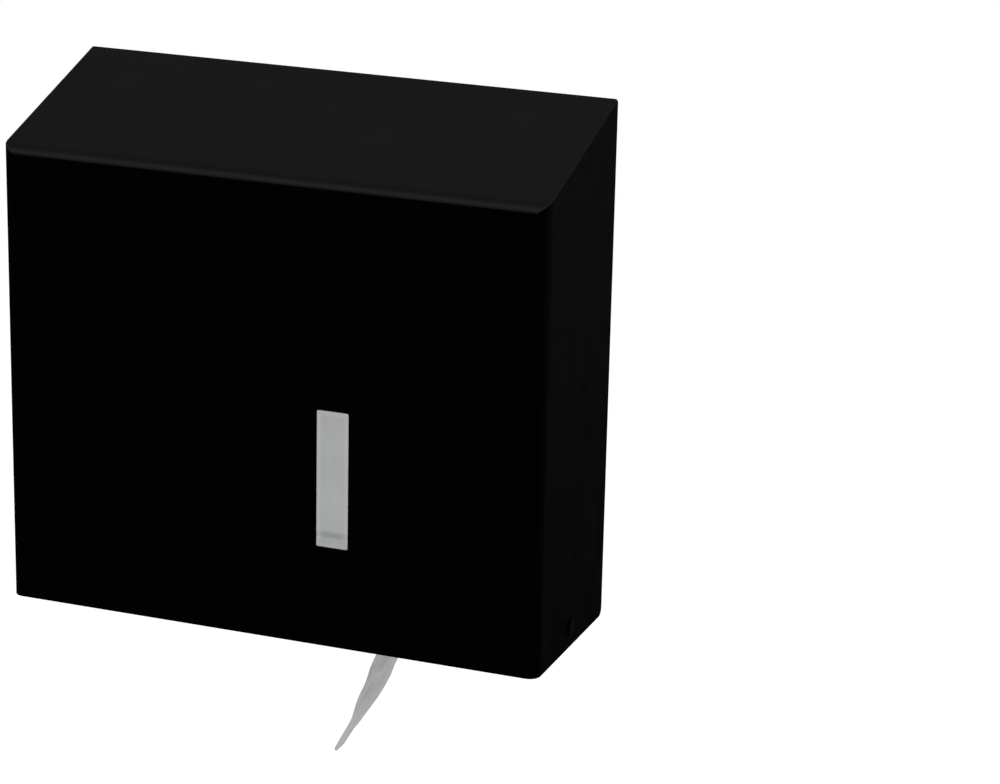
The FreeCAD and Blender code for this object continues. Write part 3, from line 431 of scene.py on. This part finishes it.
def wound_roll():
    low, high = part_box("paper_roll")
    front, back, outer = low[1], high[1], high[0]
    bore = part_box("roll_core")[1][0] + 0.05 * MM
    layer, round_off, bore_edge = 0.45 * MM, 1.3 * MM, 0.4 * MM
    ring_pitch, ring_depth = 2.4 * MM, 0.055 * MM

    def edge_rows(end, inwards, degrees):
        """Rows round the edge between an end, at 0 degrees, and the side, at 90."""
        edge = []
        for sine, cosine in ((math.sin(a), math.cos(a)) for a in np.radians(degrees)):
            place = outer - round_off * (1 - sine), end + inwards * round_off * (1 - cosine)
            edge.append((*place, 1 - sine, sine))
        return edge

    # radius, depth, share of the end's relief, share of the side's slack
    rows = [(bore, y, 0, 0) for y in np.linspace(back - bore_edge, front + bore_edge, 12)]
    end_radii = np.arange(bore + bore_edge, outer - round_off - 0.3 * MM, ring_pitch / 4)
    rows += [(radius, front, 1, 0) for radius in end_radii]
    rows += edge_rows(front, 1, (12, 32, 55, 78))
    rows += [(outer, y, 0, 1) for y in np.linspace(front + round_off, back - round_off, 30)]
    rows += [(radius, y, 0, side) for radius, y, _, side in edge_rows(back, -1, (78, 58, 35, 12))]
    rows += [(radius, back, 0, 0) for radius in np.linspace(outer - round_off, bore + bore_edge, 16)]
    radius, depth, end, side = (np.array(column)[:, None] for column in zip(*rows))
    last_layer_edge = 359.8
    angle = np.radians(np.append(np.arange(360.0), last_layer_edge))[None, :]
    turns, across, up = angle / math.tau, np.cos(angle), np.sin(angle)
    x, z = radius * across, radius * up
    sunk = ring_depth * (1 - np.cos(math.tau * (radius / ring_pitch + turns)))
    sunk = sunk + 0.30 * MM * np.abs(soft_noise(radius / (7 * MM), 0.3 * across, 0.3 * up))
    sunk = sunk + 0.35 * MM * np.abs(soft_noise(x / (38 * MM), z / (38 * MM), 4.0))
    crease_width = 1.3 * MM
    for x1, z1, x2, z2, deep in ROLL_CREASES:
        start, run = np.array((x1, z1)) * MM, np.array((x2 - x1, z2 - z1)) * MM
        share = np.clip(((x - start[0]) * run[0] + (z - start[1]) * run[1]) / (run @ run), 0, 1)
        gap = np.hypot(x - start[0] - share * run[0], z - start[1] - share * run[1])
        fading = np.sin(math.pi * (0.12 + 0.76 * share))
        sunk = sunk + deep * MM * np.exp(-(gap / crease_width) ** 2) * fading
    settled = np.clip((turns - 0.08) / 0.1, 0.0, 1.0)
    waves = np.abs(soft_noise(2.2 * across, 2.2 * up, depth / (45 * MM)))
    reach = radius - side * (layer * turns + 0.30 * MM * settled * waves)
    points = np.stack([reach * across, depth + end * sunk, reach * up], axis=-1)
    faces = grid_faces(*points.shape[:2], closed_rows=True, closed_columns=True)
    return make_piece("wound_roll", points.reshape(-1, 3), faces, "tissue_roll", "reel", "paper_roll")


# The core: a tube of board wound on the slant, whose seam steps by the board's thickness
def core_tube():
    low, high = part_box("roll_core")
    front, back, outer, inner = low[1], high[1], high[0], 30.0 * MM
    pitch, step = 74.0 * MM, 0.35 * MM
    edge, end_edge = 0.25 * MM, 0.2 * MM
    angle = np.radians(np.arange(0, 360, 2.5))[None, :]
    # radius, depth, share of the seam's step
    rows = [(inner, y, 1) for y in np.linspace(back - end_edge, front + end_edge, 110)]
    rows += [(inner + edge, front, 0), ((inner + outer) / 2, front + 0.15 * MM, 0), (outer - edge, front, 0)]
    rows += [(outer, y, 0) for y in np.linspace(front + end_edge, back - end_edge, 12)]
    rows += [(outer - edge, back, 0), (inner + edge, back, 0)]
    radius, depth, inside = (np.array(column)[:, None] for column in zip(*rows))
    share = np.mod(depth / pitch + angle / math.tau, 1.0)
    reach = radius + inside * step * np.clip(share * 1.02, 0, 1) ** 6
    points = np.stack([reach * np.cos(angle), depth + 0 * angle, reach * np.sin(angle)], axis=-1)
    faces = grid_faces(*points.shape[:2], closed_rows=True, closed_columns=True)
    return make_piece("core_tube", points.reshape(-1, 3), faces, "core_board", "reel", "roll_core")


# The loose paper: one sheet that leaves the roll, curls in through the gap and ends in a torn tip
TAIL_ROUTE = (
    # across and up from the axis, in millimetres, from where it lies on the roll to its tip
    (108.31, 62.53), (115.96, 46.85), (121.37, 30.26), (124.45, 12.40), (125.06, 0.0),
    (124.41, -38.75), (119.70, -69.98), (109.73, -94.93), (96.33, -115.0), (83.39, -130.06),
    (75.20, -139.40), (65.40, -157.0), (61.80, -165.5), (58.60, -176.0), (54.80, -185.0),
    (51.20, -195.0), (48.80, -203.5), (44.70, -212.0), (37.90, -225.0), (33.60, -234.5),
)
TAIL_TEAR = (
    # share of the width from the front, then height, in millimetres
    (0.0, -227.5), (0.07, -231.8), (0.13, -233.9), (0.19, -234.0), (0.24, -232.2), (0.27, -229.6),
    (0.28, -226.2), (0.33, -226.0), (0.41, -225.6), (0.44, -221.5), (0.46, -216.5), (0.48, -213.0),
    (0.525, -209.0), (0.60, -206.2), (0.64, -201.0), (0.685, -197.0), (0.705, -188.0), (0.74, -168.0),
    (0.86, -157.0), (1.0, -143.0),
)


def smooth_line(places, count):
    """Points along a natural cubic spline through these places, with the spline's length at each."""
    places = np.array(places, float)
    knots = np.append(0.0, np.cumsum(np.linalg.norm(np.diff(places, axis=0), axis=1)))
    gaps, size = np.diff(knots), len(places)
    system, pull = np.eye(size), np.zeros_like(places)
    for index in range(1, size - 1):
        before, after = gaps[index - 1], gaps[index]
        system[index, index - 1:index + 2] = before, 2 * (before + after), after
        slope_before = (places[index] - places[index - 1]) / before
        slope_after = (places[index + 1] - places[index]) / after
        pull[index] = 6 * (slope_after - slope_before)
    bend = np.linalg.solve(system, pull)
    line = []
    for knot in np.linspace(0, knots[-1], count):
        index = min(int(np.searchsorted(knots, knot, side="right")) - 1, size - 2)
        gap, past = gaps[index], knot - knots[index]
        ahead_of = gap - past
        line.append((bend[index] * ahead_of ** 3 + bend[index + 1] * past ** 3) / (6 * gap)
                    + (places[index] / gap - bend[index] * gap / 6) * ahead_of
                    + (places[index + 1] / gap - bend[index + 1] * gap / 6) * past)
    line = np.array(line)
    return line, np.append(0.0, np.cumsum(np.linalg.norm(np.diff(line, axis=0), axis=1)))


def loose_paper():
    low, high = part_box("paper_tail")
    front, width = low[1], high[1] - low[1]
    roll_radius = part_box("paper_roll")[1][0]

    # The route in metres, kept off the roll where it lies on it
    line, reach = smooth_line(TAIL_ROUTE, 900)
    line, reach = line * MM, reach * MM
    radius = np.hypot(line[:, 0], line[:, 1])
    clear_of_roll = np.maximum(1.0, (roll_radius + 0.05 * MM) / radius)
    line *= np.where(line[:, 1] > -8 * MM, clear_of_roll, 1.0)[:, None]

    # Where each column of the sheet ends, at the torn edge with its fine fray
    columns, rows = 121, 230
    share = np.linspace(0.0, 1.0, columns)
    tear = np.interp(share, *zip(*TAIL_TEAR)) * MM
    ends = np.interp(-tear, -line[:, 1], reach)
    longest_fray = 0.3
    for column in range(columns):
        coarse = noise.noise(Vector((column * 0.27, 3.1, 0)))
        fine = noise.noise(Vector((column * 0.9, 8.2, 0)))
        ends[column] += min(0.8 * coarse + 0.7 * fine, longest_fray) * MM

    # The sheet's middle layer, lifted off the route by soft cockles
    along = np.linspace(0.0, 1.0, rows)[:, None] * ends[None, :]
    x, z = (np.interp(along, reach, line[:, axis]) for axis in (0, 1))
    slope_x, slope_z = (np.interp(along, reach, np.gradient(line[:, axis], reach)) for axis in (0, 1))
    size = np.hypot(slope_x, slope_z)
    out_x, out_z = -slope_z / size, slope_x / size
    leaves = float(np.interp(0.0, -line[:, 1], reach))
    free = np.clip((along - leaves - 25 * MM) / (130 * MM), 0.0, 1.0)
    lower = np.clip((along - leaves - 150 * MM) / (60 * MM), 0.0, 1.0)
    thickness = np.interp(along, (0.0, leaves, leaves + 60 * MM), (0.04 * MM, 0.10 * MM, 0.30 * MM))
    span = share[None, :] * width
    held = np.sin(math.pi * share)[None, :] ** 0.5
    cockle = 0.5 * np.sin(math.tau * span / (23 * MM) + 4.0 * soft_noise(along / (60 * MM), 0.7, 0.0))
    cockle = cockle + 0.8 * soft_noise(along / (24 * MM), span / (20 * MM), 5.0)
    cockle = cockle + 0.35 * soft_noise(along / (9 * MM), span / (26 * MM), 9.0)
    lift = (free * held * (cockle - 0.3 * lower) + 0.05 * free) * MM + thickness / 2
    middle = np.stack([x + out_x * lift, front + span + 0 * along, z + out_z * lift], axis=-1)
    half_sheet = (thickness / 2)[..., None] * np.stack([out_x, 0 * out_x, out_z], axis=-1)
    points = np.concatenate([(middle + sign * half_sheet).reshape(-1, 3) for sign in (1, -1)])
    faces = closed_sheet_faces(rows, columns)
    piece = make_piece("loose_paper", points, faces, "tissue_paper", "housing", "paper_tail")
    return piece


# The window's pane: a land with a raised border that fills the opening, on a rim behind the sheet
def window_land():
    low, high = (Vector(corner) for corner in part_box("window_pane"))
    middle_x, middle_z = (low.x + high.x) / 2, (low.z + high.z) / 2
    fit, rim_thickness, corner = 0.15 * MM, 1.2 * MM, 1.0 * MM
    land_x = (high.x - low.x) / 2 - PANE_RIM - fit
    land_z = (high.z - low.z) / 2 - PANE_RIM - fit
    seat = high.y - rim_thickness
    # in from the land's edge in millimetres, then height above the rim as a share of the land's
    steps = ((0.0, 0.0), (0.0, 0.80), (0.12, 0.94), (0.30, 1.0), (1.6, 1.0), (2.2, 0.72))

    def places(half, extra=()):
        """Places along one side of the pane from edge to edge, each with its height."""
        inward = [(-half + step * MM, level) for step, level in steps]
        outward = [(-place, level) for place, level in reversed(inward)]
        edge = half + PANE_RIM + fit
        return [(-edge, 0.0), *inward, *extra, *outward, (edge, 0.0)]

    foot, field, sunk = FOOT_LINE - land_z, 0.72, 0.50
    lip = [(-land_z + 2.9 * MM, 0.82), (-land_z + 3.8 * MM, 0.90), (foot - 1.6 * MM, 0.84)]
    groove = ((-0.8, field), (-0.1, sunk), (2.4, sunk), (3.4, field))
    groove = [(foot + step * MM, level) for step, level in groove]
    columns, rows = places(land_x), places(land_z, lip + groove)
    points = []
    for z, z_level in rows:
        for x, x_level in columns:
            past_x, past_z = abs(x) - (land_x - corner), abs(z) - (land_z - corner)
            across, up = x, z
            if past_x > 0 and past_z > 0 and abs(x) <= land_x and abs(z) <= land_z:
                pull = max(past_x, past_z) / math.hypot(past_x, past_z)
                across = math.copysign(land_x - corner + past_x * pull, x)
                up = math.copysign(land_z - corner + past_z * pull, z)
            depth = seat + (low.y - seat) * min(x_level, z_level)
            points.append((middle_x + across, depth, middle_z + up))
    points += [(x, high.y, z) for x, _, z in points]
    faces = closed_sheet_faces(len(rows), len(columns))
    return make_piece("window_land", points, faces, "frosted_plastic", "cover", "window_pane", smooth=False)


# The latch's spring: a leaf bent round in a half circle
def leaf_spring():
    low, high = (Vector(corner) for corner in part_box("latch_spring"))
    outer, thickness, edge = (high.z - low.z) / 2, 0.5 * MM, 0.12 * MM
    inner, middle_z = outer - thickness, (high.z + low.z) / 2
    section = (
        (low.x + edge, outer), (high.x - edge, outer), (high.x, outer - edge), (high.x, inner + edge),
        (high.x - edge, inner), (low.x + edge, inner), (low.x, inner + edge), (low.x, outer - edge),
    )
    angles = np.radians(np.linspace(0, 180, 49))
    points = [(x, high.y - reach * math.sin(angle), middle_z + reach * math.cos(angle))
              for angle in angles for x, reach in section]
    rows, columns = len(angles), len(section)
    faces = grid_faces(rows, columns, closed_columns=True)
    faces += [tuple(range(columns)), tuple(reversed(range((rows - 1) * columns, rows * columns)))]
    piece = make_piece("leaf_spring", points, faces, "spring_steel", "cover", "latch_spring", smooth=False)
    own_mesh(piece)
    return piece


wound_roll()
core_tube()
loose_paper()
window_land()
leaf_spring()


# Stage: a white floor, so far below that the part can be looked at from under its foot
HALF_FLOOR = 14.0
FLOOR_HEIGHT = -4.0
# light levels: what lights the part, then what the camera and mirrors see
FLOOR_GLOW = (0.24, 0.62)
SKY_GLOW = (0.55, 1.0)


def seen_level(nodes, links, hidden, seen):
    """One level for diffuse light and another for rays from the camera, a gloss or glass."""
    path = add(nodes, "ShaderNodeLightPath")
    total = path.outputs["Is Camera Ray"]
    for name in ("Is Glossy Ray", "Is Transmission Ray"):
        larger = add(nodes, "ShaderNodeMath", operation="MAXIMUM")
        links.new(total, larger.inputs[0])
        links.new(path.outputs[name], larger.inputs[1])
        total = larger.outputs[0]
    level = add(nodes, "ShaderNodeMapRange")
    set_sockets(level, {"To Min": hidden, "To Max": seen})
    links.new(total, level.inputs["Value"])
    return level.outputs[0]


def white_floor():
    material, nodes, links = node_tree("studio_floor")
    output = add(nodes, "ShaderNodeOutputMaterial")
    matt = add(nodes, "ShaderNodeBsdfDiffuse")
    matt.inputs["Color"].default_value = (*grey(0.80), 1.0)
    glow = add(nodes, "ShaderNodeEmission")
    glow.inputs["Color"].default_value = (*grey(1.0), 1.0)
    links.new(seen_level(nodes, links, *FLOOR_GLOW), glow.inputs["Strength"])
    both = add(nodes, "ShaderNodeAddShader")
    links.new(matt.outputs[0], both.inputs[0])
    links.new(glow.outputs[0], both.inputs[1])
    links.new(both.outputs[0], output.inputs["Surface"])
    return material


floor_mesh = bpy.data.meshes.new("studio_floor")
floor_corners = [(x * HALF_FLOOR, y * HALF_FLOOR) for x, y in ((-1, -1), (1, -1), (1, 1), (-1, 1))]
floor_mesh.from_pydata([(x, y, FLOOR_HEIGHT) for x, y in floor_corners], [], [(0, 1, 2, 3)])
floor_mesh.materials.append(white_floor())
floor = bpy.data.objects.new("studio_floor", floor_mesh)
scene.collection.objects.link(floor)

world = bpy.data.worlds.new("studio")
scene.world = world
world.use_nodes = True
world.node_tree.nodes.clear()
sky_nodes, sky_links = world.node_tree.nodes, world.node_tree.links
sky_output = add(sky_nodes, "ShaderNodeOutputWorld")
sky = add(sky_nodes, "ShaderNodeBackground")
sky.inputs["Color"].default_value = (*grey(1.0), 1.0)
sky_links.new(seen_level(sky_nodes, sky_links, *SKY_GLOW), sky.inputs["Strength"])
sky_links.new(sky.outputs[0], sky_output.inputs["Surface"])


LAMP_SIZE = 1.4


def softbox(name, place, aim, watts):
    """A square lamp that shines from its place at a point."""
    data = bpy.data.lights.new(name, "AREA")
    data.shape = "SQUARE"
    data.size = LAMP_SIZE
    data.energy = watts
    lamp = bpy.data.objects.new(name, data)
    lamp.location = place
    lamp.rotation_euler = (Vector(aim) - Vector(place)).to_track_quat("-Z", "Y").to_euler()
    scene.collection.objects.link(lamp)


softbox("key_lamp", (-1.5, -2.0, 1.7), (0, 0, 0), 29.0)
softbox("top_lamp", (-0.7, 1.1, 2.0), (0, 0, 0.1), 16.0)
softbox("side_lamp", (2.1, -0.7, 1.9), (0, 0, 0), 30.0)
